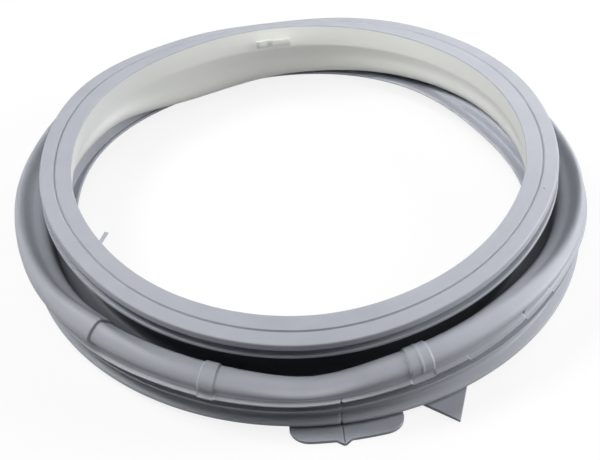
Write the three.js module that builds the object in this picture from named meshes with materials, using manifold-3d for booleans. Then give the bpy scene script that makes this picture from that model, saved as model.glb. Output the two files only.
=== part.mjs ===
// Door seal of a front-loading washing machine, moulded in one piece of grey rubber.
//
// The seal is one closed section carried once round the Z axis. From the top it is a clamp head,
// whose face is the light ring seen first, a throat wall that hangs from its inner edge, a fold,
// a bellows that climbs to a round tube and comes down to a thin skirt, and a rear rim with the
// channel that grips the tub. A thin flange reaches inwards from the rim, under the fold.
//
// The rubber is soft, so the section changes slowly on its way round. Each height or radius that
// changes is a list of values at equal angles, joined by a smooth curve. Angles are in degrees
// from +X, so that the front of the seal, with its two tabs, is at 270.
//
// Units are millimetres, +Z is up, and the rear rim lies on Z = 0.

import * as THREE from 'three';
import * as BufferGeometryUtils from 'three/addons/utils/BufferGeometryUtils.js';
import Module from 'manifold-3d';

// Driving sizes
const OPENING_RADIUS = 153.5; // laundry opening, at the inner edge of the clamp head
const SPAN = 37.5; // from the opening out to the rear rim
const HEIGHT = 65; // face of the clamp head above the foot of the rear rim
const WALL = 2.4; // rubber of the bellows and of the rim
const FLANGE_WALL = 2;
const FRONT = 270;

// Clamp head, measured outwards and down from its inner top edge
const HEAD_WIDTH = 22;
const HEAD_DEPTH = 11;
const HEAD_EDGE = 4.2; // tall outer edge
const CLAMP_GROOVE_WIDTH = 3.3; // for the spring ring, under the outer edge
const CLAMP_GROOVE_DEPTH = 4.6;
const FINE_GROOVE_AT = 11.7; // parting line in the face
const FINE_GROOVE_WIDTH = 1.5;
const FINE_GROOVE_DEPTH = 1.1;
const THROAT_SET_BACK = 2.6; // middle of the throat wall behind the inner edge

// Bellows
const FOLD_WIDTH = 8.4; // between the two sides of the fold
const FOLD_RISE = 6.5; // from the foot of the fold to where its sides run straight
const THROAT_BOW = 0.8; // the throat wall bows outwards by this much
const SHOULDER_RUN = 2.5; // the far wall of the fold comes up this far inside the shoulder
const SHOULDER_RISE = 1.8;
const FAR_WALL_LEAN = { along: 0.85, up: 0.42 }; // where the far wall turns steep
const BULGE_SHARE = 0.38; // the tube is widest this share of the way down its outer side
const TUBE_FOOT = { out: 0.6, share: 0.35, above: 0.5 }; // how the tube runs into the skirt
const SKIRT_HEIGHT = 2.4; // thin edge where the tube ends

// Rear rim, measured inwards from its outer edge and up from its foot
const RIM_RADIUS = OPENING_RADIUS + SPAN;
const RIM_TOP = 6.8; // top of the lower rim
const CHANNEL_DEPTH = 6.5; // seat on the tub
const CHANNEL_HEIGHT = 6.8;
const UPPER_RIM = 1.6; // thin rim over the channel
const RECESS_DEPTH = 4.8; // dark recess under the skirt
const RECESS_TOP = 19;
const FOOT_INSET = 2.6; // undercut of the lower rim
const FLANGE_HEIGHT = 9.5; // root of the inner flange
const VALLEY_RUN = 9; // from the free edge of the flange to its valley
const VALLEY_DEPTH = 2;
const KNEE_WIDTH = 2.5; // from the valley to the knee, at least

// Details of the tube
const COLLARS = [
  { from: 247.6, to: 251, rise: 1.1, rib: 0 },
  { from: 288, to: 293, rise: 1.1, rib: 0.8 },
];
const COLLAR_EDGE = 0.4; // degrees taken by the flank of a collar
const TUBE_STEP_AT = 224.6; // from here to the left the tube is one step larger
const TUBE_STEP_END = 150;
const TUBE_STEP = 1.6;

// Tabs at the front of the rim
const TAB_THICKNESS = 2.2;
const ROUND_TAB = { from: 264.5, to: 286.5, reach: 9.5, corner: 6 };
const NIB = { at: 274.5, halfWidth: 3, reach: 4 };
const POINTED_TAB = { from: 290.3, to: 299.8, at: 294, reach: 18.2 };

// Small parts
const LEDGES = [
  { from: 204, to: 228 },
  { from: 323, to: 347 },
];
const LEDGE_DEPTH = 6.5; // how far it stands out behind the throat wall
const LEDGE_HEIGHT = 6.5;
const PAD = { from: 91, to: 101, top: 7.5, height: 6, rise: 0.6 };
const TONGUE = { at: 209.5, heading: 69, length: 10.8, width: 2.6, thickness: 0.8, below: 3.4 };

// Resolution
const ANGLE_STEP = 5;
const CURVE_STEPS = [1, 1, 2, 2, 1, 2, 1, 2, 2, 1, 1]; // points in each stretch of the bellows

const toRadians = THREE.MathUtils.degToRad;
const mix = THREE.MathUtils.lerp;

// Angle from one direction to another, from -180 to 180.
const turn = (angle, from) => ((((angle - from + 180) % 360) + 360) % 360) - 180;

// A value that changes smoothly round the seal, through the given ones at equal angles from 0.
function around(...values) {
  const count = values.length;
  const pick = (index) => values[((index % count) + count) % count];
  return (angle) => {
    const place = (angle * count) / 360;
    const start = Math.floor(place);
    const t = place - start;
    const [a, b, c, d] = [-1, 0, 1, 2].map((shift) => pick(start + shift));
    const bend = (2 * a - 5 * b + 4 * c - d) * t ** 2;
    return 0.5 * (2 * b + (c - a) * t + bend + (3 * (b - c) + d - a) * t ** 3);
  };
}

// A smooth hump of height 1, a few degrees wide.
const hump = (angle, at, width) => Math.exp(-((turn(angle, at) / width) ** 2));

// The free form of the soft seal as it lies. Radii are added to the driving radii.
const headShift = around(-1.3, 1.3, 0.5, 0.4, 1.8, 6.5, 2.8, -0.9, -0.1, 0.5, -3.6, -4.9);
const headTilt = around(1, 3, 9, 19, 15, 1, 0, -4, 5, 11, 4, -4);
const foldShift = around(4, 5, 4.5, 4, 4, 5.5, 12.5, 6, 4.5, 4.5, 2, 0.5);
const foldHeight = around(24, 26, 22.5, 16.5, 12.5, 32, 31, 22, 15, 11.5, 15, 19);
const shoulderInset = around(13, 15, 15, 15, 15, 12, 12, 15.5, 13, 10.5, 14, 15.5);
const shoulderHeight = around(
  38, 39, 40, 41, 41, 41, 41, 41, 41, 41, 40, 39,
  38.5, 39.5, 42, 43, 38.5, 35.5, 33.5, 38.5, 42.5, 46, 43.5, 39.5,
);
const crestShift = around(
  -1, -4, -5, -5, -5, -4, -4, -3, -2, 0, 2.5, 2.5,
  4, 3.5, 1, -5.5, -5, -4.5, -4, -5, -6, -6, -3.5, -1.5,
);
const crestHeight = around(
  41, 41, 41, 41, 41, 41, 41, 41, 42, 44, 46, 47, 47, 46, 45, 44.5, 41, 36.5, 32.5, 40, 44.5, 48, 46.5, 43,
);
const topSag = around(5, 2, 1, 1, 1.5, 2.5, 3, 3.5, -1, -1.2, -1, 5);
const bulgeShift = around(0.5, -1.5, -1.5, -1, 0, 4.5, 5.5, 6, 2, 2, 2, 3);
const skirtHeight = around(22, 22, 22, 22, 22, 22, 22, 19.5, 22.5, 20.7, 25.3, 23.5);
const flangeShift = around(1.5, -4, 4.5, 18, 18, 15, 7, 4.5, 4.5, 4.5, 4.5, 4.5);
const flangeHeight = around(17, 19, 17, 8, 7, 13, 16, 11, 8, 6.5, 8, 11);
const kneeShift = around(12, 7, 14, 24, 23, 20, 19.5, 17, 15, 15, 15, 14);
const kneeHeight = around(22, 24, 14, 8, 9, 21, 24, 16, 11, 9, 11, 17);

const crestDip = (angle) => hump(angle, FRONT - 3, 9);
const backTilt = (angle) => 4 * hump(angle, 97, 12);

// The clamp head's own frame: along is measured outwards on its face, down is square to the face.
function headPoint(angle, along, down) {
  const tilt = toRadians(headTilt(angle) + backTilt(angle));
  return new THREE.Vector2(
    OPENING_RADIUS + headShift(angle) + along * Math.cos(tilt) - down * Math.sin(tilt),
    HEIGHT - along * Math.sin(tilt) - down * Math.cos(tilt),
  );
}

function clampHead(angle) {
  const grooveTop = HEAD_EDGE + 0.4;
  const grooveFoot = grooveTop + CLAMP_GROOVE_WIDTH;
  const grooveFloor = HEAD_WIDTH - CLAMP_GROOVE_DEPTH;
  return [
    [0.3, 0.7],
    [0.9, 0],
    [FINE_GROOVE_AT - FINE_GROOVE_WIDTH / 2, 0],
    [FINE_GROOVE_AT, FINE_GROOVE_DEPTH],
    [FINE_GROOVE_AT + FINE_GROOVE_WIDTH / 2, 0],
    [HEAD_WIDTH - 0.7, 0.2],
    [HEAD_WIDTH, 0.9],
    [HEAD_WIDTH + 0.2, HEAD_EDGE],
    [grooveFloor, grooveTop],
    [grooveFloor, grooveFoot],
    [HEAD_WIDTH + 0.2, grooveFoot + 0.1],
    [HEAD_WIDTH + 0.4, HEAD_DEPTH - 0.9],
    [HEAD_WIDTH - 6, HEAD_DEPTH],
  ].map(([along, down]) => headPoint(angle, along, down));
}

// Middle line of the bellows, from the clamp head down, through the fold and over the tube.
function bellowsLine(angle) {
  const at = (radius, height) => new THREE.Vector2(radius, height);
  const top = headPoint(angle, THROAT_SET_BACK, HEAD_DEPTH - 0.5);
  const foldRadius = OPENING_RADIUS + foldShift(angle);
  const foldSide = foldHeight(angle) + FOLD_RISE;
  const foldFar = foldRadius + FOLD_WIDTH;
  const lowered = crestDip(angle) + WALL / 2;
  const shoulder = at(RIM_RADIUS - shoulderInset(angle), shoulderHeight(angle) - lowered);
  const crest = at(RIM_RADIUS + crestShift(angle), crestHeight(angle) - lowered);
  const tubeFoot = at(RIM_RADIUS, skirtHeight(angle) + SKIRT_HEIGHT + TUBE_FOOT.above);
  const bulge = at(RIM_RADIUS + bulgeShift(angle) - WALL / 2, mix(crest.y, tubeFoot.y, BULGE_SHARE));
  return [
    top,
    at((top.x + foldRadius) / 2 + THROAT_BOW, (top.y + foldSide) / 2),
    at(foldRadius, foldSide),
    at(foldRadius + FOLD_WIDTH / 2, foldHeight(angle) + WALL / 2),
    at(foldFar, foldSide),
    at(
      mix(foldFar, shoulder.x - SHOULDER_RUN, FAR_WALL_LEAN.along),
      mix(foldSide, shoulder.y - SHOULDER_RISE, FAR_WALL_LEAN.up),
    ),
    shoulder,
    at((shoulder.x + crest.x) / 2, (shoulder.y + crest.y) / 2 - topSag(angle)),
    crest,
    bulge,
    at(RIM_RADIUS + TUBE_FOOT.out, mix(tubeFoot.y, bulge.y, TUBE_FOOT.share)),
    tubeFoot,
  ];
}

// Points along the middle line, each with the direction square to it, outwards over the tube.
function bellowsPath(angle) {
  const knots = bellowsLine(angle).map((point) => new THREE.Vector3(point.x, point.y, 0));
  const curve = new THREE.CatmullRomCurve3(knots, false, 'centripetal');
  const stretches = knots.length - 1;
  const path = [];
  CURVE_STEPS.forEach((steps, stretch) => {
    for (let step = 0; step < steps; step += 1) path.push((stretch + step / steps) / stretches);
  });
  path.push(1);
  return path.map((t) => {
    const point = curve.getPoint(t);
    const tangent = curve.getTangent(t);
    return { point, outwards: new THREE.Vector2(-tangent.y, tangent.x), stretch: t * stretches };
  });
}

// How far a collar or the larger part of the tube stands out at an angle.
function tubeRise(angle) {
  let rise = 0;
  for (const collar of COLLARS) {
    const inside = Math.min(turn(angle, collar.from), turn(collar.to, angle)) / COLLAR_EDGE;
    const onRib = Math.abs(turn(angle, (collar.from + collar.to) / 2)) < COLLAR_EDGE / 2;
    rise += collar.rise * THREE.MathUtils.clamp(inside + 1, 0, 1) + (onRib ? collar.rib : 0);
  }
  const larger = THREE.MathUtils.clamp(turn(TUBE_STEP_AT, angle) / COLLAR_EDGE, 0, 1);
  const fade = THREE.MathUtils.smoothstep(angle, TUBE_STEP_END, TUBE_STEP_AT);
  return rise + TUBE_STEP * larger * fade;
}

// Collars grow out of the tube only, from its shoulder to just above the skirt.
const onTube = (stretch) =>
  THREE.MathUtils.smoothstep(stretch, 4, 5.2) * (1 - THREE.MathUtils.smoothstep(stretch, 9.5, 11));

function skirtAndRim(angle) {
  const skirt = skirtHeight(angle);
  const channelFloor = RIM_RADIUS - CHANNEL_DEPTH;
  const upperRim = RIM_TOP + CHANNEL_HEIGHT;
  const recess = RIM_RADIUS - RECESS_DEPTH;
  return [
    [RIM_RADIUS + 1.3, skirt + SKIRT_HEIGHT],
    [RIM_RADIUS + 1.4, skirt + 0.2],
    [RIM_RADIUS - 0.5, skirt - 0.2],
    [recess, RECESS_TOP],
    [recess - 0.2, upperRim + UPPER_RIM + 1],
    [RIM_RADIUS - 0.7, upperRim + UPPER_RIM + 0.7],
    [RIM_RADIUS - 0.4, upperRim + 0.8],
    [channelFloor, upperRim],
    [channelFloor, RIM_TOP + 0.6],
    [RIM_RADIUS - 0.4, RIM_TOP],
    [RIM_RADIUS + 0.2, RIM_TOP - 1.6],
    [RIM_RADIUS - FOOT_INSET, 0],
    [channelFloor - WALL, 0],
  ].map(([radius, height]) => new THREE.Vector2(radius, height));
}

// The thin flange that reaches inwards from the rim: up to a knee under the fold, down into a
// valley, and out to its free edge.
function flange(angle) {
  const edgeRadius = OPENING_RADIUS + flangeShift(angle);
  const kneeRadius = OPENING_RADIUS + kneeShift(angle);
  const valleyRadius = Math.min(edgeRadius + VALLEY_RUN, kneeRadius - KNEE_WIDTH);
  const drop = (VALLEY_DEPTH * (valleyRadius - edgeRadius)) / VALLEY_RUN;
  const knots = [
    [RIM_RADIUS - CHANNEL_DEPTH - WALL / 2, FLANGE_HEIGHT],
    [kneeRadius, kneeHeight(angle)],
    [valleyRadius, flangeHeight(angle) - drop],
    [edgeRadius, flangeHeight(angle)],
  ].map(([radius, height]) => new THREE.Vector3(radius, height, 0));
  const curve = new THREE.CatmullRomCurve3(knots, false, 'centripetal');
  const side = (t, distance) => {
    const point = curve.getPoint(t);
    const tangent = curve.getTangent(t);
    return new THREE.Vector2(point.x - tangent.y * distance, point.y + tangent.x * distance);
  };
  const places = [0.12, 1 / 3, 2 / 3, 1];
  const under = places.map((t) => side(t, FLANGE_WALL / 2));
  const over = places.map((t) => side(t, -FLANGE_WALL / 2)).reverse();
  return [...under, ...over];
}

// The closed section at an angle, as points of radius and height in one direction round.
function section(angle) {
  const path = bellowsPath(angle);
  const rise = tubeRise(angle);
  const side = (spot, distance) =>
    new THREE.Vector2(spot.point.x, spot.point.y).addScaledVector(spot.outwards, distance);
  const outer = path.map((spot) => side(spot, WALL / 2 + rise * onTube(spot.stretch)));
  const inner = path.map((spot) => side(spot, -WALL / 2)).reverse();
  const neckRadius = RIM_RADIUS - CHANNEL_DEPTH - WALL;
  const neck = [new THREE.Vector2(neckRadius, RECESS_TOP - 2)];
  return [...clampHead(angle), ...outer, ...skirtAndRim(angle), ...flange(angle), ...neck, ...inner];
}

const inSpace = (point, angle) =>
  new THREE.Vector3(point.x * Math.cos(toRadians(angle)), point.x * Math.sin(toRadians(angle)), point.y);

// Carries an outline from angle to angle. It closes on itself, or has a flat cap at each end.
function loft(outline, angles, closed) {
  const rings = angles.map((angle) => outline(angle).map((point) => inSpace(point, angle)));
  const size = rings[0].length;
  const triangles = [];
  const spans = closed ? angles.length : angles.length - 1;
  for (let i = 0; i < spans; i += 1) {
    const here = i * size;
    const next = ((i + 1) % angles.length) * size;
    for (let j = 0; j < size; j += 1) {
      const k = (j + 1) % size;
      triangles.push(here + j, here + k, next + k, here + j, next + k, next + j);
    }
  }
  if (!closed) {
    const last = (angles.length - 1) * size;
    const first = THREE.ShapeUtils.triangulateShape(outline(angles[0]), []);
    const end = THREE.ShapeUtils.triangulateShape(outline(angles[angles.length - 1]), []);
    for (const [a, b, c] of first) triangles.push(a, b, c);
    for (const [a, b, c] of end) triangles.push(last + c, last + b, last + a);
  }
  const geometry = new THREE.BufferGeometry();
  const positions = rings.flat().flatMap((point) => point.toArray());
  geometry.setAttribute('position', new THREE.Float32BufferAttribute(positions, 3));
  geometry.setIndex(triangles);
  return geometry;
}

// Angles of the sections: equal steps, with closer ones at the sharp details of the tube.
function sectionAngles() {
  const sharp = [TUBE_STEP_AT - COLLAR_EDGE, TUBE_STEP_AT];
  for (const { from, to, rib } of COLLARS) {
    sharp.push(from - COLLAR_EDGE, from, to, to + COLLAR_EDGE);
    const middle = (from + to) / 2;
    if (rib) sharp.push(middle - COLLAR_EDGE, middle, middle + COLLAR_EDGE);
  }
  const even = [];
  for (let angle = 0; angle < 360; angle += ANGLE_STEP) {
    if (sharp.every((other) => Math.abs(turn(angle, other)) > 0.3 * ANGLE_STEP)) even.push(angle);
  }
  return [...even, ...sharp].sort((a, b) => a - b);
}

// Angles from one to another in equal steps, both ends included.
function sweepAngles(from, to, steps) {
  return Array.from({ length: steps + 1 }, (_, step) => mix(from, to, step / steps));
}

const planPoint = (radius, angle) =>
  new THREE.Vector2(radius * Math.cos(toRadians(angle)), radius * Math.sin(toRadians(angle)));

// A flat tab on the floor, drawn from above. Its root runs inside the foot of the rim.
function tab(corners) {
  const shape = new THREE.Shape(corners);
  return new THREE.ExtrudeGeometry(shape, { depth: TAB_THICKNESS, bevelEnabled: false });
}

const tabRoot = ({ from, to }) =>
  sweepAngles(to, from, 4).map((angle) => planPoint(RIM_RADIUS - FOOT_INSET - 1.5, angle));

// Rounded at its two corners, with a small pointed nib on its outer edge.
function roundTab() {
  const reach = RIM_RADIUS + ROUND_TAB.reach;
  const degrees = (length) => THREE.MathUtils.radToDeg(length / reach);
  const corner = (angle, towards) =>
    [0.15, 0.4, 0.7, 1].map((t) => {
      const inset = ROUND_TAB.corner * (1 - Math.sin((t * Math.PI) / 2));
      const along = degrees(ROUND_TAB.corner) * (1 - Math.cos((t * Math.PI) / 2));
      return planPoint(reach - inset, angle + towards * along);
    });
  const edge = (from, to) => sweepAngles(from, to, 4).map((angle) => planPoint(reach, angle));
  const nib = degrees(NIB.halfWidth);
  const corners = degrees(ROUND_TAB.corner) + 0.5;
  return tab([
    ...corner(ROUND_TAB.from, 1),
    ...edge(ROUND_TAB.from + corners, NIB.at - nib),
    planPoint(reach + NIB.reach, NIB.at),
    ...edge(NIB.at + nib, ROUND_TAB.to - corners),
    ...corner(ROUND_TAB.to, -1).reverse(),
    ...tabRoot(ROUND_TAB),
  ]);
}

function pointedTab() {
  return tab([planPoint(RIM_RADIUS + POINTED_TAB.reach, POINTED_TAB.at), ...tabRoot(POINTED_TAB)]);
}

// A ledge behind the throat wall, under the clamp head, that stops square at its front end.
function ledge({ from, to }) {
  const outline = (angle) => {
    const inner = THROAT_SET_BACK + 0.4;
    return [
      headPoint(angle, inner, HEAD_DEPTH - 1.5),
      headPoint(angle, inner + LEDGE_DEPTH + 2, HEAD_DEPTH - 1.5),
      headPoint(angle, inner + LEDGE_DEPTH, HEAD_DEPTH + LEDGE_HEIGHT - 1.5),
      headPoint(angle, inner, HEAD_DEPTH + LEDGE_HEIGHT),
    ];
  };
  return loft(outline, sweepAngles(from, to, 5), false);
}

// A flat pad on the inside of the throat wall, at the back.
function pad() {
  const outline = (angle) => {
    const path = bellowsPath(angle);
    const face = (height) => {
      const upper = path[0].point;
      const lower = path[2].point;
      return mix(upper.x, lower.x, (upper.y - height) / (upper.y - lower.y)) - WALL / 2;
    };
    const top = HEIGHT - PAD.top;
    const foot = top - PAD.height;
    const depth = WALL / 2;
    return [
      new THREE.Vector2(face(top) - PAD.rise, top),
      new THREE.Vector2(face(top) + depth, top),
      new THREE.Vector2(face(foot) + depth, foot),
      new THREE.Vector2(face(foot) - PAD.rise, foot),
    ];
  };
  return loft(outline, sweepAngles(PAD.from, PAD.to, 3), false);
}

// A thin tongue of rubber left at the inner edge of the clamp head. It points across the opening.
function tongue() {
  const edge = headPoint(TONGUE.at, 0, TONGUE.below);
  const root = planPoint(edge.x, TONGUE.at);
  const way = planPoint(1, TONGUE.heading);
  const across = planPoint(TONGUE.width / 2, TONGUE.heading + 90);
  const inside = root.clone().addScaledVector(way, -1.5 * TONGUE.width);
  const tip = root.clone().addScaledVector(way, TONGUE.length);
  const shape = new THREE.Shape([
    inside.clone().sub(across),
    tip.clone().sub(across),
    tip.clone().add(across),
    inside.clone().add(across),
  ]);
  const plate = new THREE.ExtrudeGeometry(shape, { depth: TONGUE.thickness, bevelEnabled: false });
  return plate.translate(0, 0, edge.y);
}

const wasm = await Module();
wasm.setup();

function toSolid(geometry) {
  geometry.deleteAttribute('normal');
  geometry.deleteAttribute('uv');
  const merged = BufferGeometryUtils.mergeVertices(geometry, 1e-4);
  const mesh = new wasm.Mesh({
    numProp: 3,
    vertProperties: new Float32Array(merged.attributes.position.array),
    triVerts: new Uint32Array(merged.index.array),
  });
  return new wasm.Manifold(mesh);
}

function toGeometry(solid) {
  const mesh = solid.getMesh();
  const geometry = new THREE.BufferGeometry();
  geometry.setAttribute('position', new THREE.BufferAttribute(mesh.vertProperties, 3));
  geometry.setIndex(new THREE.BufferAttribute(mesh.triVerts, 1));
  return geometry;
}

const pieces = [roundTab(), pointedTab(), ...LEDGES.map(ledge), pad(), tongue()].map(toSolid);
const seal = pieces.reduce((whole, piece) => whole.add(piece), toSolid(loft(section, sectionAngles(), true)));

// The rim lies flat and the origin is under the middle of the whole seal.
const geometry = toGeometry(seal);
geometry.computeBoundingBox();
const middle = geometry.boundingBox.getCenter(new THREE.Vector3());
geometry.translate(-middle.x, -middle.y, 0);
geometry.computeVertexNormals();

const rubber = new THREE.MeshStandardMaterial({ color: '#a6a9b2', roughness: 0.62, metalness: 0 });
const doorSeal = new THREE.Mesh(geometry, rubber);
doorSeal.name = 'door_seal';

const group = new THREE.Group();
group.add(doorSeal);

export default group;
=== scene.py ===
# %% [markdown]
# # A washing machine's door seal
#
# The object is one piece of grey rubber, moulded in one shot. It joins the door opening of the
# cabinet to the wash tub, and it is soft, so it lies on the table a little out of true. The packed
# CAD model gives its real size and place. This lesson builds the finer rubber form over it: one
# closed section that is spun once round the axis and then shaped, angle by angle.

# %% Start and load the frame
import math

import bmesh
import bpy
import numpy as np
from mathutils import Matrix, Vector


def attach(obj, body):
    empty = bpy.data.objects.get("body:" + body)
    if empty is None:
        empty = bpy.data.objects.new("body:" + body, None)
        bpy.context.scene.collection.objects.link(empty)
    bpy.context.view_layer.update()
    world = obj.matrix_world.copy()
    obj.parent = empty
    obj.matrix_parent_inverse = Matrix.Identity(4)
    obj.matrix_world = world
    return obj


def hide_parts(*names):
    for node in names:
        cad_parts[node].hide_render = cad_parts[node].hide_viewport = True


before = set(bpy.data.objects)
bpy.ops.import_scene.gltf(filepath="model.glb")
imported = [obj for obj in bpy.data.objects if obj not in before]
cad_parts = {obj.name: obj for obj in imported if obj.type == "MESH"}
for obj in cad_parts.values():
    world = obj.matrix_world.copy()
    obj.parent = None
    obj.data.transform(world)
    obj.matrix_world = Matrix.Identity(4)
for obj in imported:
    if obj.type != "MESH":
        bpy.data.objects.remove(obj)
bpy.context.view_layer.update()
MM = 0.001
AXIS = (2.361, 5.540)  # the seal's own axis in the frame, in mm, because the tabs shift the box

# %% [markdown]
# ## The camera
#
# A camera is a place, a direction and a lens. These were fitted to the ellipses that the round
# edges of the seal make in the picture: it looks down at 42 degrees from about a metre away,
# turned a few degrees about its own line of sight.

# %% Camera
CAMERA_LENS = 90.0
CAMERA_SENSOR = 36.0  # mm, the width of a full-frame sensor
CAMERA_DOWN = math.radians(41.88)
CAMERA_ROLL = math.radians(3.37)
CAMERA_DISTANCE = 1065.4
CAMERA_TARGET = Vector((-3.89 + AXIS[0], AXIS[1], -4.31))
CAMERA_SEES = 20.0  # metres


def add_object(name, data):
    """Makes an object of the data and puts it in the scene."""
    made = bpy.data.objects.new(name, data)
    bpy.context.scene.collection.objects.link(made)
    return made


sight = Vector((0, math.cos(CAMERA_DOWN), -math.sin(CAMERA_DOWN)))
level = Vector((1, 0, 0))
upright = level.cross(sight)
right = math.cos(CAMERA_ROLL) * level - math.sin(CAMERA_ROLL) * upright
up = math.sin(CAMERA_ROLL) * level + math.cos(CAMERA_ROLL) * upright

camera_data = bpy.data.cameras.new("camera")
camera_data.lens = CAMERA_LENS
camera_data.sensor_width = CAMERA_SENSOR
camera_data.clip_end = CAMERA_SEES
camera = add_object("camera", camera_data)
turned = Matrix((right, up, -sight)).transposed().to_4x4()
place = (CAMERA_TARGET - CAMERA_DISTANCE * sight) * MM
camera.matrix_world = Matrix.Translation(place) @ turned
bpy.context.scene.camera = camera
bpy.context.scene.view_settings.view_transform = "Standard"
print("camera stands at", [round(value, 3) for value in place], "m")

# %% [markdown]
# ## Values that change round the seal
#
# Soft rubber sags and leans, so hardly any height or radius is the same all round. Each one is
# kept as a short list of values at equal angles and joined by a smooth curve that closes on
# itself. Angles are in degrees from +X, which puts the front of the seal at 270.

# %% Smooth values round the ring
FRONT = 270


def around(*values):
    """A value that goes smoothly through the given ones, which stand at equal angles from 0."""
    knots = np.array(values, float)
    count = len(knots)

    def at(angle):
        place = np.asarray(angle, float) * count / 360
        start = np.floor(place).astype(int)
        t = place - start
        before, here, there, after = (knots[(start + shift) % count] for shift in (-1, 0, 1, 2))
        bend = 2 * before - 5 * here + 4 * there - after
        twist = 3 * (here - there) + after - before
        return 0.5 * (2 * here + (there - before) * t + bend * t**2 + twist * t**3)

    return at


def turn(angle, start):
    """The angle from one direction to another, from -180 to 180."""
    return (np.asarray(angle, float) - start + 180) % 360 - 180


def hump(angle, at, width):
    """A smooth hump of height 1."""
    return np.exp(-((turn(angle, at) / width) ** 2))


def ease(value, low, high):
    """Goes smoothly from 0 at low to 1 at high."""
    t = np.clip((np.asarray(value, float) - low) / (high - low), 0, 1)
    return t * t * (3 - 2 * t)


def band(angle, start, end, edge):
    """1 from one angle to another, 0 outside, with soft edges a few tenths of a degree wide."""
    middle = (start + end) / 2
    away = np.abs(turn(angle, middle))
    half = (end - start) / 2
    return 1 - ease(away, half - edge, half)


print("around(0, 1, 0, -1) half way to its first top:", round(float(around(0, 1, 0, -1)(45)), 3))

# %% [markdown]
# ## The section
#
# Cut through the rubber at any angle and the same closed outline shows. From the top it is the
# clamp head with its groove, the throat wall, the fold, the round tube, the thin skirt, the rear
# rim with its channel, and the thin flange that points inwards. Most of it is drawn as corners,
# and each corner gets a small radius, because a mould never leaves a knife edge.

# %% Driving sizes, in mm
OPENING_RADIUS = 153.5
SPAN = 37.5
RIM_RADIUS = OPENING_RADIUS + SPAN
HEIGHT = 65
WALL = 2.4
HEAD_WIDTH = 22
HEAD_DEPTH = 14.6
BACK_TILT = 4  # degrees that the head leans further near the back
BACK_TILT_AT = 97
BACK_TILT_WIDTH = 12

head_shift = around(-1.3, 1.3, 0.5, 0.4, 1.8, 6.5, 2.8, -0.9, -0.1, 0.5, -3.6, -4.9)
head_tilt = around(1, 3, 9, 19, 15, 1, 0, -4, 5, 11, 4, -4)


def head_point(angle, along, down):
    """A point of the clamp head: along its face from the inner edge, and down square to it."""
    tilt = np.radians(head_tilt(angle) + BACK_TILT * hump(angle, BACK_TILT_AT, BACK_TILT_WIDTH))
    radius = OPENING_RADIUS + head_shift(angle) + along * np.cos(tilt) - down * np.sin(tilt)
    height = HEIGHT - along * np.sin(tilt) - down * np.cos(tilt)
    return np.stack([radius, height], -1)


def flat_point(angle, radius, height):
    """A point given by its radius and height."""
    zero = np.zeros_like(angle)
    return np.stack([radius + zero, height + zero], -1)


print("opening", 2 * OPENING_RADIUS, "mm, rear rim", 2 * RIM_RADIUS, "mm, height", HEIGHT, "mm")

# %% Round the corners of an outline
def rounded(corners, steps=3):
    """Replaces each corner (point, radius) by a short curve. A radius of 0 keeps the point."""
    points = [corner[0] for corner in corners]
    result = []
    for index, (point, radius) in enumerate(corners):
        if radius == 0 or index in (0, len(corners) - 1):
            result.append(point)
            continue
        sides = []
        for neighbour in (points[index - 1], points[index + 1]):
            way = neighbour - point
            length = np.linalg.norm(way, axis=-1, keepdims=True)
            reach = np.minimum(radius, 0.45 * length)
            sides.append(point + way / length * reach)
        for step in range(steps + 1):
            t = step / steps
            curve = (1 - t) ** 2 * sides[0] + 2 * t * (1 - t) * point + t**2 * sides[1]
            result.append(curve)
    return result


# %% [markdown]
# ## Clamp head
#
# The head hooks over the edge of the cabinet's front panel, and a spring ring in its outer groove
# holds it there. A fine groove runs along its face. The head could be one spun profile, but its
# face leans by another angle at each place. So its corners are given along the face and square to
# it, and the lean comes in where they are turned into radius and height.

# %% Clamp head
FINE_GROOVE_AT = 11.7
FINE_GROOVE_HALF = 0.85
FINE_GROOVE_DEPTH = 1.4
GROOVE_TOP = 5.9
GROOVE_FOOT = 11.2
GROOVE_FLOOR = HEAD_WIDTH - 8


def clamp_head(angle):
    """The clamp head from its inner top edge, over the face and down to the throat wall."""
    corners = [
        (0.8, 5.0, 0),
        (0.35, 1.2, 0),
        (0.3, 0.0, 0.7),
        (FINE_GROOVE_AT - FINE_GROOVE_HALF, 0.0, 0.2),
        (FINE_GROOVE_AT, FINE_GROOVE_DEPTH, 0.3),
        (FINE_GROOVE_AT + FINE_GROOVE_HALF, 0.0, 0.2),
        (HEAD_WIDTH, 0.2, 1.2),
        (HEAD_WIDTH + 0.2, GROOVE_TOP - 0.4, 0.5),
        (GROOVE_FLOOR, GROOVE_TOP, 0.6),
        (GROOVE_FLOOR, GROOVE_FOOT, 0.6),
        (HEAD_WIDTH + 0.2, GROOVE_FOOT + 0.1, 0.5),
        (HEAD_WIDTH + 0.4, HEAD_DEPTH - 0.9, 0.6),
        (HEAD_WIDTH - 6, HEAD_DEPTH, 1.0),
        (9.0, HEAD_DEPTH - 0.2, 0),
    ]
    return rounded([(head_point(angle, along, down), radius) for along, down, radius in corners])


print("spring ring's groove:", round(GROOVE_FOOT - GROOVE_TOP, 1), "mm wide")

# %% [markdown]
# ## Bellows
#
# The bellows lets the tub swing behind a still door. In the section it is one wall of even
# thickness: down the throat, round a narrow fold, up, and over a wide tube. Drawing both its sides
# would let the thickness wander. So only its middle line is drawn, as a curve through a few points,
# and each side stands off from it by half a wall.

# %% Middle line of the bellows
THROAT_SET_BACK = 2.6
THROAT_BOW = 0.8
FOLD_WIDTH = 8.4
FOLD_RISE = 6.5
SKIRT_HEIGHT = 2.4
FRONT_DIP_AT = FRONT - 3  # the tube hangs through by a millimetre more here
FRONT_DIP_WIDTH = 9
STEEP_OUT = 0.47  # shares of the way up and out at the fold's far wall
STEEP_UP = 0.45
BULGE_DOWN = 0.38  # shares of the way down the tube's outer side
LOWER_UP = 0.35
LOWER_IN = 0.5

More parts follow.
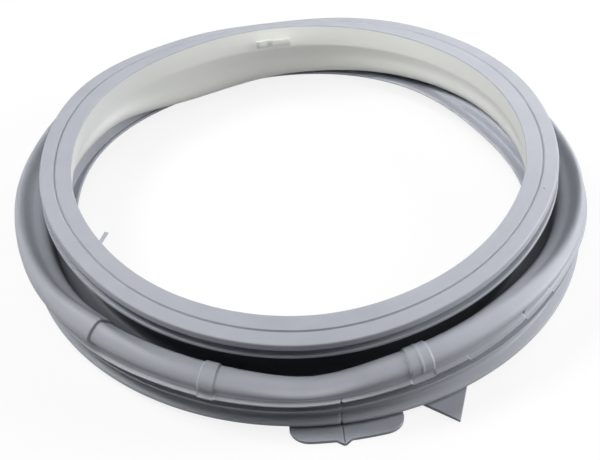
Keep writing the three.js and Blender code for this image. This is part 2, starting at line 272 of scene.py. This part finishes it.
fold_shift = around(4, 5, 4.5, 4, 4, 5.5, 12.5, 6, 4.5, 4.5, 2, 0.5)
fold_height = around(24, 26, 22.5, 16.5, 12.5, 32, 31, 22, 15, 11.5, 15, 19)
shoulder_inset = around(14.5, 15, 15, 15, 15, 12, 12, 11, 14, 13, 14, 16)
far_lean = around(5, 5.5, 5.5, 5.5, 5.5, 5.5, 5.5, 5.5, 6, 7, 14, 7)
shoulder_height = around(
    34, 37, 38.5, 39, 40, 41, 41, 41, 41, 40, 39, 39,
    39, 37, 36, 38.5, 40, 39, 37, 44, 47, 47, 41, 35,
)
crest_shift = around(
    -1, -4, -5, -5, -5, -4, -4, -3, -2, 0, 2.5, 2.5,
    4, 3.5, 1, -5.5, -5, -4.5, -4, -5, -6, -6, -3.5, -1.5,
)
crest_height = around(
    41, 41, 41, 41, 41, 41, 41, 41, 42, 44, 46, 47,
    47, 46, 45, 44.5, 41, 37.5, 35, 43.5, 47.5, 49, 46.5, 43,
)
top_sag = around(1, 0.5, 1, 1, 1, 1, 1, 0.5, -1, -1.2, -1, 0.5)
bulge_shift = around(0.5, -1.5, -1.5, -1, 0, 4.5, 5.5, 6, 1, 0.4, 0.6, 2)
skirt_height = around(
    28, 26, 24, 23, 23, 23, 23, 23, 23, 23, 23, 23,
    23, 22.5, 22, 24, 26.5, 26, 26.2, 30.5, 34, 37, 37, 32,
)
upper_rim = around(20, 17, 17, 17, 17, 17, 17, 17, 18, 18.4, 23, 25)


def mix(a, b, share):
    """The value that lies a share of the way from a to b."""
    return a + (b - a) * share


def bellows_line(angle):
    """Points that the middle of the bellows goes through, from the clamp head to the skirt."""
    dip = hump(angle, FRONT_DIP_AT, FRONT_DIP_WIDTH)
    top = head_point(angle, THROAT_SET_BACK, HEAD_DEPTH - 0.5)
    fold = flat_point(angle, OPENING_RADIUS + fold_shift(angle), fold_height(angle) + FOLD_RISE)
    foot = fold + np.stack([FOLD_WIDTH / 2 + 0 * angle, WALL / 2 - FOLD_RISE + 0 * angle], -1)
    shoulder_top = shoulder_height(angle) - dip - WALL / 2
    shoulder = flat_point(angle, RIM_RADIUS - shoulder_inset(angle), shoulder_top)
    lean = far_lean(angle)
    far = flat_point(angle, shoulder[:, 0] - lean, foot[:, 1] + 0.5)
    steep_height = mix(foot[:, 1], shoulder[:, 1], STEEP_UP)
    steep = flat_point(angle, shoulder[:, 0] - STEEP_OUT * lean, steep_height)
    crest = flat_point(angle, RIM_RADIUS + crest_shift(angle), crest_height(angle) - dip - WALL / 2)
    dish = (shoulder + crest) / 2 - np.stack([0 * angle, top_sag(angle)], -1)
    tube_foot = flat_point(angle, RIM_RADIUS, skirt_height(angle) + SKIRT_HEIGHT + 0.5)
    bulge_out = RIM_RADIUS + bulge_shift(angle) - WALL / 2
    bulge = flat_point(angle, bulge_out, mix(crest[:, 1], tube_foot[:, 1], BULGE_DOWN))
    lower = flat_point(angle, RIM_RADIUS - LOWER_IN, mix(tube_foot[:, 1], bulge[:, 1], LOWER_UP))
    wall = (top + fold) / 2 + np.array([THROAT_BOW, 0])
    return [top, wall, fold, foot, far, steep, shoulder, dish, crest, bulge, lower, tube_foot]


print("tube's top at the front:", round(float(shoulder_height(FRONT)), 1), "mm over the table")

# %% Smooth curve through those points
def curve_through(knots, steps):
    """A curve through the knots whose bends stay even where the knots are close together.

    With it come the places of its points, counted in knots: 0 at the first and 1 at the second.
    """
    knots = [2 * knots[0] - knots[1], *knots, 2 * knots[-1] - knots[-2]]
    spacing = [np.sqrt(np.linalg.norm(b - a, axis=-1, keepdims=True)) for a, b in zip(knots, knots[1:])]
    points = []
    places = []
    for index in range(1, len(knots) - 2):
        before, here, there, after = knots[index - 1 : index + 3]
        first, middle, last = spacing[index - 1 : index + 2]
        leave = there - here + middle * ((here - before) / first - (there - before) / (first + middle))
        arrive = there - here + middle * ((after - there) / last - (after - here) / (middle + last))
        for step in range(steps):
            t = step / steps
            start = (2 * t**3 - 3 * t**2 + 1) * here + (t**3 - 2 * t**2 + t) * leave
            end = (3 * t**2 - 2 * t**3) * there + (t**3 - t**2) * arrive
            points.append(start + end)
            places.append(index - 1 + t)
    points.append(knots[-2])
    places.append(len(knots) - 3)
    return np.array(points), np.array(places, float)


# %% [markdown]
# ## Collars and the step of the tube
#
# The tube is not the same all along. Two raised collars cross it near the front, the right one
# with a low rib in its middle. On the left the tube grows slowly wider and then falls back in one
# step, as if a larger pipe slipped over it. Rings could be added as pieces of their own, but the
# real ones are one with the skin and only a millimetre or two high. So the skin is moved out by
# that much between two angles.

# %% Height of the collars
COLLARS = ((247.9, 251.4), (287.3, 292.3))
COLLAR_RISE = 1.1
RIB_RISE = 0.35
RIB_AT = sum(COLLARS[1]) / 2
RIB_HALF = 0.45
EDGE = 0.35
TUBE_STEP_AT = 224.6
TUBE_STEP = 1.6
TUBE_GROWS_FROM = 150


def tube_rise(angle):
    """How far the tube's skin stands out of its plain form at each angle."""
    rise = sum(COLLAR_RISE * band(angle, start, end, EDGE) for start, end in COLLARS)
    rise = rise + RIB_RISE * band(angle, RIB_AT - RIB_HALF, RIB_AT + RIB_HALF, EDGE)
    larger = 1 - ease(angle, TUBE_STEP_AT - EDGE, TUBE_STEP_AT)
    return rise + TUBE_STEP * larger * ease(angle, TUBE_GROWS_FROM, TUBE_STEP_AT)


# %% [markdown]
# ## Marks of the mould
#
# On the right, three short slits cross the foot of the tube, and the edge of the skirt is made of
# three stretches. Each starts a little lower and further out than the one before it ended. A fine
# notch marks the middle of the front on the skirt and on both rims. Cutting them out of the mesh
# would leave ragged edges, so they are small changes of the section between two angles.

# %% Slits, stretches of the skirt and the middle mark
SLITS = (313.3, 322.0, 330.0)
SLIT_DEPTH = 1.6
STRETCH_STARTS = (299.0, *SLITS[:2])
STRETCH_EDGE = 0.15
STRETCH_OUT = 0.8
STRETCH_DOWN = 1.0
MIDDLE_MARK = 274.4
MARK_DEPTH = 1.3
CUT_HALF = 0.3  # half the width of a slit or mark, in degrees
CUT_EDGE = 0.2


def slit_depth(angle):
    """How far the slits cut into the foot of the tube."""
    return sum(SLIT_DEPTH * band(angle, at - CUT_HALF, at + CUT_HALF, CUT_EDGE) for at in SLITS)


def stretch_start(angle):
    """1 where a stretch of the skirt starts, and evenly less until it is 0 at its end."""
    total = 0
    for start, end in zip(STRETCH_STARTS, SLITS):
        gone = turn(angle, start) / (end - start)
        total = total + band(angle, start, end, STRETCH_EDGE) * (1 - np.clip(gone, 0, 1))
    return total


def mark_depth(angle):
    """How far the middle mark cuts into the edges at the front."""
    return MARK_DEPTH * band(angle, MIDDLE_MARK - CUT_HALF, MIDDLE_MARK + CUT_HALF, CUT_EDGE)


print("slits at", SLITS, "degrees, middle mark at", MIDDLE_MARK)

# %% [markdown]
# ## Rear rim and flange
#
# The rear rim grips the lip of the wash tub, and its channel takes a second spring ring. The flange
# is a thin flap that keeps laundry out of the gap behind the seal. The rim's foot lies flat, so its
# corners are plain radii and heights. The flange is a bent sheet, so it is made as the bellows is,
# from its middle line.

# %% Rear rim and flange
CHANNEL_DEPTH = 6.5
RIM_TOP = 7.6
RECESS = RIM_RADIUS - 4.8
FOOT_INSET = 5.0
NECK = RIM_RADIUS - CHANNEL_DEPTH - WALL
NECK_RISE = 2.5
COLLAR_SHARE = 0.6  # how much of a stretch's start shows where a collar meets the skirt

FLANGE_WALL = 2.0
FLANGE_ROOT = 9.5
FLANGE_STEPS = 5
VALLEY_RUN = 9
VALLEY_DEPTH = 2
VALLEY_CLEAR = 2.5

flange_shift = around(1.5, -4, 4.5, 18, 18, 15, 7, 4.5, 4.5, 4.5, 4.5, 4.5)
flange_height = around(17, 19, 17, 8, 7, 13, 16, 11, 8, 6.5, 8, 11)
knee_shift = around(12, 7, 14, 24, 23, 20, 19.5, 17, 15, 15, 15, 14)
knee_height = around(22, 24, 14, 8, 9, 21, 24, 16, 11, 9, 11, 17)


def skirt_and_rim(angle):
    """From the end of the tube down over the skirt, the channel and the foot of the rim."""
    at_collar = sum(band(angle, *pair, EDGE) for pair in COLLARS)
    anew = stretch_start(angle) + COLLAR_SHARE * at_collar
    edge = RIM_RADIUS - mark_depth(angle)
    floor_radius = RIM_RADIUS - CHANNEL_DEPTH
    lip = edge + STRETCH_OUT * anew
    skirt = skirt_height(angle) - STRETCH_DOWN * anew
    rim = upper_rim(angle)
    corners = [
        (RIM_RADIUS + 1.0, skirt + SKIRT_HEIGHT - 0.2, 0),
        (lip + 3.3, skirt + 1.3, 0.5),
        (lip + 2.7, skirt, 0.4),
        (edge - 0.5, skirt - 0.2, 0.5),
        (RECESS, rim + 4.2, 1.2),
        (RECESS - 0.2, rim + 2.4, 0.8),
        (edge + 0.8, rim + 2.0, 0.4),
        (edge + 1.0, rim + 0.8, 0.4),
        (floor_radius, rim, 1.0),
        (floor_radius, RIM_TOP + 3.2, 2.0),
        (edge - 0.2, RIM_TOP, 0.6),
        (edge + 0.2, RIM_TOP - 1.6, 0.6),
        (edge - FOOT_INSET, 0, 0.5),
        (NECK + 0.4, 0, 0.7),
        (NECK, 4, 0),
    ]
    return rounded([(flat_point(angle, radius, height), r) for radius, height, r in corners])


def flange(angle):
    """The thin flange: up to a knee under the fold, down into a valley and out to its free edge."""
    edge_radius = OPENING_RADIUS + flange_shift(angle)
    knee_radius = OPENING_RADIUS + knee_shift(angle)
    valley_radius = np.minimum(edge_radius + VALLEY_RUN, knee_radius - VALLEY_CLEAR)
    drop = VALLEY_DEPTH * (valley_radius - edge_radius) / VALLEY_RUN
    edge = flat_point(angle, edge_radius, flange_height(angle))
    valley = flat_point(angle, valley_radius, flange_height(angle) - drop)
    knee = flat_point(angle, knee_radius, knee_height(angle))
    root = flat_point(angle, NECK + WALL / 2, FLANGE_ROOT)
    line, _ = curve_through([root, knee, valley, edge], FLANGE_STEPS)
    way = np.gradient(line, axis=0)
    side = np.stack([-way[..., 1], way[..., 0]], -1) / np.linalg.norm(way, axis=-1, keepdims=True)
    under = line + side * FLANGE_WALL / 2
    over = (line - side * FLANGE_WALL / 2)[::-1]
    tip = line[-1] + way[-1] / np.linalg.norm(way[-1], axis=-1, keepdims=True) * FLANGE_WALL / 2
    return [*under[2:], tip, *over[:-2]]  # the first two points lie inside the neck


free_edge = OPENING_RADIUS + flange_shift(FRONT)
print("flange's free edge at the front:", round(float(free_edge), 1), "mm from the axis")

# %% The whole section
CURVE_STEPS = 4


def section(angle):
    """The closed outline at each angle, as an array of stations, angles, and radius and height.

    The skin stands out only on the tube, which lies between places 5 and 10 of the middle line. The
    slits cut in where the tube meets the skirt, round place 10.
    """
    line, places = curve_through(bellows_line(angle), CURVE_STEPS)
    way = np.gradient(line, axis=0)
    out = np.stack([-way[..., 1], way[..., 0]], -1) / np.linalg.norm(way, axis=-1, keepdims=True)
    on_tube = ease(places, 4.0, 5.2) * (1 - ease(places, 9.5, 11))
    at_foot = ease(places, 9.3, 9.7) * (1 - ease(places, 10.7, 11))
    rise = WALL / 2 + on_tube[:, None] * tube_rise(angle)[None, :]
    rise = rise - at_foot[:, None] * slit_depth(angle)[None, :]
    outer = line + out * rise[..., None]
    inner = (line - out * WALL / 2)[::-1]
    neck = [flat_point(angle, NECK, upper_rim(angle) + NECK_RISE)]
    rim = skirt_and_rim(angle) + flange(angle) + neck
    return np.array([*clamp_head(angle), *outer, *rim, *inner])


def painted_light_shade_along():
    """Painted light and shade of each point of the outline: 1 for painted light on the throat wall's
    inner side, -1 for painted shade in the fold.
    """
    one = np.array([0.0])
    head = np.zeros(len(clamp_head(one)))
    head[:2] = 1
    _, places = curve_through(bellows_line(one), CURVE_STEPS)
    fold = ease(places, 4.4, 5.9) - 1
    rim = np.zeros(len(section(one)) - len(head) - 2 * len(places))
    wall = 1 - ease(places, 2.6, 3.4)
    return np.concatenate([head, fold, rim, wall[::-1]])


# How much of the painted light on the inner wall shows at each angle.
painted_light_round = around(0.9, 0.9, 1, 1, 0.85, 0.6, 0.6, 0.8, 0.8, 0.8, 0.8, 0.8)


print("points in the section:", len(section(np.array([0.0]))))

# %% [markdown]
# ## Small parts of the moulding
#
# Some small parts don't run all the way round: the ledges behind the throat wall, the flat pad at
# the back, a pip on the face, two tabs at the front and a thin tongue left by the mould. The ledges
# and the pad are short outlines, extruded from angle to angle, and the pip is a small ball. The
# tabs and the tongue are flat, so they are drawn from above and extruded upwards. All of them start
# inside the rubber they grow from, as one moulding.

# %% Carry an outline from angle to angle
def in_frame(radius, angle, height):
    """The place in the frame, in metres, of a point given round the seal's own axis in mm."""
    x = AXIS[0] + radius * math.cos(math.radians(angle))
    y = AXIS[1] + radius * math.sin(math.radians(angle))
    return Vector((x, y, height)) * MM


def sweep(bm, outline, angles, painted_light_and_shade=0):
    """Extrudes a closed outline through the given angles, with a cap at each end. Its points get the
    given painted light and shade.
    """
    station = bm.verts.layers.int["station"]
    painted_light_shade = bm.verts.layers.float["painted_light_shade"]
    corners = []
    for index, (radius, height) in enumerate(outline(angles[0])):
        corner = bm.verts.new(in_frame(radius, angles[0], height))
        corner[station] = index
        corner[painted_light_shade] = painted_light_and_shade
        corners.append(corner)
    cap = bm.faces.new(corners)
    for angle in angles[1:]:
        grown = bmesh.ops.extrude_face_region(bm, geom=[cap])["geom"]
        cap = next(part for part in grown if isinstance(part, bmesh.types.BMFace))
        points = outline(angle)
        for corner in cap.verts:
            radius, height = points[corner[station]]
            corner.co = in_frame(radius, angle, height)


def head_corners(angle, places):
    """The places of an outline that is given in the clamp head's own directions."""
    return [tuple(head_point(np.array([angle]), along, down)[0]) for along, down in places]


# %% Ledges and pad
LEDGES = ((204, 228), (323, 347))
LEDGE_RINGS = 13
LEDGE_TOP = HEAD_DEPTH - 1.6
PAD = (91, 101)
PAD_RINGS = 9
PAD_RISE = 0.6
PAD_ROOT = 1.2
PAD_TOP = HEIGHT - 7.5
PAD_BOTTOM = HEIGHT - 13.5
PIP_AT = 342.0
PIP_ALONG = 15.5
PIP_RADIUS = 0.7


def ledge_outline(angle):
    """A ledge behind the throat wall, under the clamp head."""
    places = ((3.0, LEDGE_TOP), (11.5, LEDGE_TOP), (9.5, LEDGE_TOP + 6), (3.0, LEDGE_TOP + 7.5))
    return head_corners(angle, places)


def pad_outline(angle):
    """A flat pad that stands a little out of the throat wall."""
    top, _, fold = (point[0] for point in bellows_line(np.array([angle]))[:3])

    def face(height):
        return mix(top[0], fold[0], (top[1] - height) / (top[1] - fold[1])) - WALL / 2

    return [
        (face(PAD_TOP) - PAD_RISE, PAD_TOP),
        (face(PAD_TOP) + PAD_ROOT, PAD_TOP),
        (face(PAD_BOTTOM) + PAD_ROOT, PAD_BOTTOM),
        (face(PAD_BOTTOM) - PAD_RISE, PAD_BOTTOM),
    ]


def add_small_parts(bm):
    """Grows the ledges, the pad and a small pip on the face."""
    for start, end in LEDGES:
        sweep(bm, ledge_outline, np.linspace(start, end, LEDGE_RINGS))
    # The pad gets the same painted light as the inner wall.
    sweep(bm, pad_outline, np.linspace(*PAD, PAD_RINGS), painted_light_and_shade=1)
    radius, height = head_point(np.array([PIP_AT]), PIP_ALONG, 0.1)[0]
    middle = Matrix.Translation(in_frame(radius, PIP_AT, height))
    bmesh.ops.create_icosphere(bm, subdivisions=2, radius=PIP_RADIUS * MM, matrix=middle)


# %% Tabs at the front
TAB_THICKNESS = 2.2
TAB_ROOT = RIM_RADIUS - 6.3
ROUND_TAB = (264.5, 286.5)
ROUND_TAB_REACH = RIM_RADIUS + 9.5
ROUND_TAB_CORNER = 14
ROUND_TAB_CUTS = (20, 90)  # the part of the corner's arc that stands clear of the rim, in degrees
NIB_AT = 274.5
NIB_HALF = 5
NIB_REACH = 4
TAB_GROOVE_HALF = 0.1  # half the groove's width, in degrees
TAB_SOFT_EDGE = 0.4
POINTED_TAB = (290.3, 301.4)
POINTED_TAB_AT = 294.7
POINTED_TAB_REACH = RIM_RADIUS + 18.2


def tab_root(start, end):
    """The side of a tab that runs inside the foot of the rim."""
    return [(TAB_ROOT, angle) for angle in np.linspace(end, start, 7)]


def round_tab():
    """Outlines of the rounded tab, with the nib on its outer edge, and their thicknesses.

    A fine groove runs through the middle to the tip of the nib, so there are two full halves and
    a thinner strip between them.
    """
    start, end = ROUND_TAB
    per_mm = math.degrees(1 / ROUND_TAB_REACH)
    turns = np.radians(np.linspace(*ROUND_TAB_CUTS, 8))
    insets = ROUND_TAB_CORNER * (1 - np.sin(turns))
    along = ROUND_TAB_CORNER * per_mm * (1 - np.cos(turns))
    first = [(ROUND_TAB_REACH - inset, start + step) for inset, step in zip(insets, along)]
    last = [(ROUND_TAB_REACH - inset, end - step) for inset, step in zip(insets, along)][::-1]
    nib = NIB_HALF * per_mm
    tip = ROUND_TAB_REACH + NIB_REACH
    before = NIB_AT - TAB_GROOVE_HALF
    after = NIB_AT + TAB_GROOVE_HALF
    left_edge = [(ROUND_TAB_REACH, angle) for angle in np.linspace(first[-1][1] + 0.5, NIB_AT - nib, 4)]
    right_edge = [(ROUND_TAB_REACH, angle) for angle in np.linspace(NIB_AT + nib, last[0][1] - 0.5, 6)]
    left = [*first, *left_edge, (tip - 0.3, before), *tab_root(start, before)]
    right = [(tip - 0.3, after), *right_edge, *last, *tab_root(after, end)]
    beside = 4 * TAB_GROOVE_HALF
    middle = [(tip - 0.6, NIB_AT), (ROUND_TAB_REACH, NIB_AT + beside), (TAB_ROOT, NIB_AT + beside)]
    middle += [(TAB_ROOT, NIB_AT - beside), (ROUND_TAB_REACH, NIB_AT - beside)]
    return [(left, TAB_THICKNESS), (right, TAB_THICKNESS), (middle, 0.5 * TAB_THICKNESS)]


def pointed_tab():
    """Outline of the pointed tab, and its thickness."""
    return [([(POINTED_TAB_REACH, POINTED_TAB_AT), *tab_root(*POINTED_TAB)], TAB_THICKNESS)]


def add_flat(bm, corners, thickness, softness):
    """A flat part extruded upwards, its upper edge softened as a mould leaves it."""
    foot = bm.faces.new([bm.verts.new(corner) for corner in corners])
    grown = bmesh.ops.extrude_face_region(bm, geom=[foot])["geom"]
    top = [part for part in grown if isinstance(part, bmesh.types.BMVert)]
    rim = [part for part in grown if isinstance(part, bmesh.types.BMEdge)]
    bmesh.ops.translate(bm, verts=top, vec=(0, 0, thickness * MM))
    bmesh.ops.bevel(
        bm, geom=rim, offset=softness * MM, offset_type="OFFSET", segments=2, profile=0.5,
        affect="EDGES", material=-1,
    )


def add_tabs(bm):
    """Both tabs lie flat on the table."""
    for outline, thickness in round_tab() + pointed_tab():
        corners = [in_frame(radius, angle, 0) for radius, angle in outline]
        add_flat(bm, corners, thickness, TAB_SOFT_EDGE)


# %% Tongue at the inner edge
TONGUE_AT = 209.5
TONGUE_HEADING = 69
TONGUE_LENGTH = 10.8
TONGUE_WIDTH = 2.6
TONGUE_THICKNESS = 0.8
TONGUE_SOFT_EDGE = 0.2
TONGUE_BELOW = 3.4


def add_tongue(bm):
    """A thin strip of rubber at the inner edge of the clamp head. It points across the opening."""
    radius, height = head_point(np.array([float(TONGUE_AT)]), 0, TONGUE_BELOW)[0]
    root = in_frame(radius, TONGUE_AT, height)
    heading = math.radians(TONGUE_HEADING)
    way = Vector((math.cos(heading), math.sin(heading), 0)) * MM
    across = Vector((-way.y, way.x, 0)) * TONGUE_WIDTH / 2
    inside = root - way * 1.5 * TONGUE_WIDTH
    tip = root + way * TONGUE_LENGTH
    corners = [inside - across, tip - across, tip + across, inside + across]
    add_flat(bm, corners, TONGUE_THICKNESS, TONGUE_SOFT_EDGE)


# %% [markdown]
# ## Spin and shape
#
# The section at angle 0 is drawn as a wire and spun once round the axis, with its two ends merged.
# Every copy keeps the number of its place on the outline, so each point can then be moved to where
# the section at its own angle has that place. More turns of the spin go where a collar starts or
# ends, because a sharp flank needs close rings of points.

# %% Angles of the rings
RINGS = 440
RING_CROWD = 9  # how many times closer the rings stand at a sharp flank
RING_REACH = 0.7
SHARP = [TUBE_STEP_AT, RIB_AT, STRETCH_STARTS[0], MIDDLE_MARK, *SLITS]
SHARP += [angle for pair in COLLARS for angle in pair]


def ring_angles():
    """As many angles as rings, closer together where the tube has a sharp edge."""
    fine = np.linspace(0, 360, 36001)
    wanted = 1 + sum(RING_CROWD * hump(fine, at, RING_REACH) for at in SHARP)
    total = np.concatenate([[0], np.cumsum((wanted[1:] + wanted[:-1]) / 2)])
    return np.interp(np.arange(RINGS) / RINGS, total / total[-1], fine)


angles = ring_angles()
print("closest rings:", round(float(np.diff(angles).min()), 3), "degrees apart")


# %% Spin the wire, then move each point to its place
def finish_mesh(bm, name):
    """Merges doubles, turns the faces outwards and makes an object of the mesh."""
    bmesh.ops.remove_doubles(bm, verts=bm.verts, dist=1e-6)
    bmesh.ops.recalc_face_normals(bm, faces=bm.faces)
    mesh = bpy.data.meshes.new(name)
    bm.to_mesh(mesh)
    bm.free()
    mesh.shade_smooth()
    return add_object(name, mesh)


bm = bmesh.new()
station = bm.verts.layers.int.new("station")
painted_light_shade = bm.verts.layers.float.new("painted_light_shade")
painted_light_and_shade = painted_light_shade_along()
wire = []
for index, (radius, height) in enumerate(section(np.array([0.0]))[:, 0]):
    vert = bm.verts.new((radius, 0, height))
    vert[station] = index
    wire.append(vert)
edges = [bm.edges.new((wire[i - 1], wire[i])) for i in range(len(wire))]
bmesh.ops.spin(
    bm, geom=wire + edges, cent=(0, 0, 0), axis=(0, 0, 1), angle=math.tau, steps=RINGS, use_merge=True
)
shape = section(angles)
for vert in bm.verts:
    ring = round(math.atan2(vert.co.y, vert.co.x) / math.tau * RINGS) % RINGS
    radius, height = shape[vert[station], ring]
    vert.co = in_frame(radius, angles[ring], height)
    # Painted light on the inner wall, weaker at some angles, and painted shade in the fold.
    shade = painted_light_and_shade[vert[station]]
    vert[painted_light_shade] = shade * float(painted_light_round(angles[ring])) if shade > 0 else shade
add_small_parts(bm)
add_tabs(bm)
add_tongue(bm)
seal = finish_mesh(bm, "seal_rubber")
even_shade = seal.modifiers.new("even_shade", "WEIGHTED_NORMAL")
even_shade.weight = 50
print("seal:", len(seal.data.vertices), "points,", len(seal.data.polygons), "faces")

# %% [markdown]
# ## Rubber
#
# The seal is moulded EPDM rubber, coloured mid grey. The mould was polished, so the skin has a
# soft broad gloss with no mirror in it, and faint clouding where the rubber met the steel. The
# inner wall is painted paler, as painted light for the light that reaches it through the opening.
# Down in the fold the rubber is painted darker, as painted shade.

# %% Node helper and colours
def linear(hex_colour):
    """Turns an sRGB hex colour into the linear values that a shader takes."""
    channels = [int(hex_colour[i : i + 2], 16) / 255 for i in (1, 3, 5)]
    values = [c / 12.92 if c <= 0.04045 else ((c + 0.055) / 1.055) ** 2.4 for c in channels]
    return (*values, 1)


def add_node(tree, kind, settings=None, inputs=None):
    """Adds a node with its settings, and sets or links each of its inputs."""
    node = tree.nodes.new(kind)
    for name, value in (settings or {}).items():
        setattr(node, name, value)
    for name, value in (inputs or {}).items():
        if isinstance(value, bpy.types.NodeSocket):
            tree.links.new(value, node.inputs[name])
        else:
            node.inputs[name].default_value = value
    return node


# %% Moulded EPDM rubber
def moulded_epdm():
    """Grey moulded EPDM: soft gloss, faint clouds some 20 mm across and a fine skin, with painted light
    on the inner wall and painted shade in the fold.
    """
    material = bpy.data.materials.new("moulded_epdm_grey")
    material.use_nodes = True
    tree = material.node_tree
    tree.nodes.clear()
    place = add_node(tree, "ShaderNodeTexCoord").outputs["Object"]
    clouds = add_node(
        tree, "ShaderNodeTexNoise", None,
        {"Vector": place, "Scale": 1 / 0.020, "Detail": 3.0, "Roughness": 0.55},
    )
    tint = add_node(
        tree, "ShaderNodeMix", {"data_type": "RGBA"},
        {"Factor": clouds.outputs["Fac"], 6: linear("#a3a6af"), 7: linear("#b0b3bb")},
    )
    # Painted light and shade: this attribute makes the inner wall paler and the fold darker.
    painted_amount = add_node(tree, "ShaderNodeAttribute", {"attribute_name": "painted_light_shade"}).outputs["Fac"]
    # Painted light: the inner wall is mixed towards a pale colour.
    painted_light_colour = add_node(
        tree, "ShaderNodeMix", {"data_type": "RGBA"},
        {"Factor": painted_amount, 6: tint.outputs[2], 7: linear("#eaebe6")},
    )
    # Painted shade: the fold is mixed towards a dark grey.
    painted_shade_amount = add_node(tree, "ShaderNodeMath", {"operation": "MULTIPLY"}, {0: painted_amount, 1: -1.0})
    colour = add_node(
        tree, "ShaderNodeMix", {"data_type": "RGBA"},
        {"Factor": painted_shade_amount.outputs[0], 6: painted_light_colour.outputs[2], 7: linear("#5f6168")},
    )
    skin = add_node(
        tree, "ShaderNodeTexNoise", None,
        {"Vector": place, "Scale": 1 / 0.0012, "Detail": 2.0, "Roughness": 0.6},
    )
    bump = add_node(
        tree, "ShaderNodeBump", None,
        {"Strength": 0.12, "Distance": 0.0002, "Height": skin.outputs["Fac"]},
    )
    shader = add_node(
        tree, "ShaderNodeBsdfPrincipled", None,
        {"Base Color": colour.outputs[2], "Roughness": 0.5, "IOR": 1.5, "Normal": bump.outputs["Normal"]},
    )
    add_node(tree, "ShaderNodeOutputMaterial", None, {"Surface": shader.outputs["BSDF"]})
    return material


rubber = moulded_epdm()
seal.data.materials.append(rubber)
print("rubber:", len(rubber.node_tree.nodes), "nodes")

# %% [markdown]
# ## Floor and light
#
# The seal lies on a white table between soft lamps at both sides, the strongest high on the left,
# and the table vanishes into the background. A brighter lamp would bleach the rubber with it. So the
# floor and the sky are white only where the camera or a gloss looks at them, the floor keeps a faint
# shadow, and the seal sees a darker floor that leaves its low parts dark.

# %% Light levels
SKY_LOW = 0.0
SKY_HIGH = 0.04
LAMPS = (
    ("high_left_lamp", (-0.9, 0.1, 1.3), 0.6, 15.5),
    ("high_front_lamp", (0.0, -0.6, 1.45), 0.5, 3.0),
    ("right_lamp", (1.4, 0.0, 0.8), 0.6, 9.0),
    ("low_right_lamp", (1.5, 0.0, 0.35), 0.5, 11.0),
    ("back_right_lamp", (1.0, 1.0, 0.9), 0.6, 8.0),
    ("low_left_lamp", (-1.5, 0.0, 0.35), 0.5, 3.0),
)
WALL_LAMP_PLACE = (0.05, -0.22, 0.42)  # a small lamp over the opening, for the wall at the back
WALL_LAMP_AIM = (0.08, 0.15, 0.03)
WALL_LAMP_SIZE = 0.2
WALL_LAMP_POWER = 0.1
WALL_LAMP_SPREAD = math.radians(50)
FLOOR_GLOW = 0.85  # how much of the floor's white is its own, so that the shadow stays faint
FLOOR_BOUNCE = "#959595"  # what the seal sees of the floor, so that its low parts stay dark

# %% Floor
FLOOR_HALF = 4.0  # metres


def looked_at(tree):
    """1 where the camera or a gloss looks at a surface, 0 where light only bounces off it."""
    paths = add_node(tree, "ShaderNodeLightPath").outputs
    rays = {0: paths["Is Camera Ray"], 1: paths["Is Glossy Ray"]}
    return add_node(tree, "ShaderNodeMath", {"operation": "MAXIMUM"}, rays).outputs[0]


floor_bm = bmesh.new()
bmesh.ops.create_grid(floor_bm, x_segments=1, y_segments=1, size=FLOOR_HALF)
floor_mesh = bpy.data.meshes.new("floor")
floor_bm.to_mesh(floor_mesh)
floor_bm.free()
floor = add_object("floor", floor_mesh)

white = bpy.data.materials.new("white_table")
white.use_nodes = True
tree = white.node_tree
tree.nodes.clear()
seen = looked_at(tree)
table = add_node(
    tree, "ShaderNodeMix", {"data_type": "RGBA"},
    {"Factor": seen, 6: linear(FLOOR_BOUNCE), 7: linear("#fbfbfb")},
)
matt = add_node(tree, "ShaderNodeBsdfDiffuse", None, {"Color": table.outputs[2]})
pure = add_node(tree, "ShaderNodeEmission", None, {"Color": (1, 1, 1, 1), "Strength": 1.0})
share = add_node(tree, "ShaderNodeMath", {"operation": "MULTIPLY"}, {0: seen, 1: FLOOR_GLOW})
table_skin = add_node(
    tree, "ShaderNodeMixShader", None,
    {0: share.outputs[0], 1: matt.outputs["BSDF"], 2: pure.outputs[0]},
)
add_node(tree, "ShaderNodeOutputMaterial", None, {"Surface": table_skin.outputs[0]})
floor.data.materials.append(white)
print("floor:", 2 * FLOOR_HALF, "m wide")

# %% World and lamps
world = bpy.data.worlds.new("studio")
world.use_nodes = True
tree = world.node_tree
tree.nodes.clear()
direction = add_node(tree, "ShaderNodeTexCoord").outputs["Generated"]
height = add_node(tree, "ShaderNodeSeparateXYZ", None, {"Vector": direction}).outputs["Z"]
glow = add_node(
    tree, "ShaderNodeMapRange", {"interpolation_type": "SMOOTHSTEP"},
    {"Value": height, "From Min": 0.1, "From Max": 1.0, "To Min": SKY_LOW, "To Max": SKY_HIGH},
)
strength = add_node(
    tree, "ShaderNodeMix", {"data_type": "FLOAT"},
    {"Factor": looked_at(tree), "A": glow.outputs["Result"], "B": 1.0},
)
sky = add_node(
    tree, "ShaderNodeBackground", None, {"Color": (1, 1, 1, 1), "Strength": strength.outputs["Result"]}
)
add_node(tree, "ShaderNodeOutputWorld", None, {"Surface": sky.outputs["Background"]})
bpy.context.scene.world = world


def soft_lamp(name, place, size, power, aim=(0, 0, 0), spread=math.pi):
    """A square lamp that faces the middle of the seal, or another place."""
    data = bpy.data.lights.new(name, "AREA")
    data.size = size
    data.energy = power
    data.spread = spread
    lamp = add_object(name, data)
    lamp.location = place
    lamp.rotation_euler = (Vector(aim) - Vector(place)).to_track_quat("-Z", "Y").to_euler()


for name, place, size, power in LAMPS:
    soft_lamp(name, place, size, power)
soft_lamp("wall_lamp", WALL_LAMP_PLACE, WALL_LAMP_SIZE, WALL_LAMP_POWER, WALL_LAMP_AIM, WALL_LAMP_SPREAD)
print("lamps:", len(LAMPS) + 1)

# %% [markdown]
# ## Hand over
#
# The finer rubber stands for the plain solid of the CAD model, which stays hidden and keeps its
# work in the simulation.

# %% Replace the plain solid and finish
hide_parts("door_seal")
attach(seal, "root")
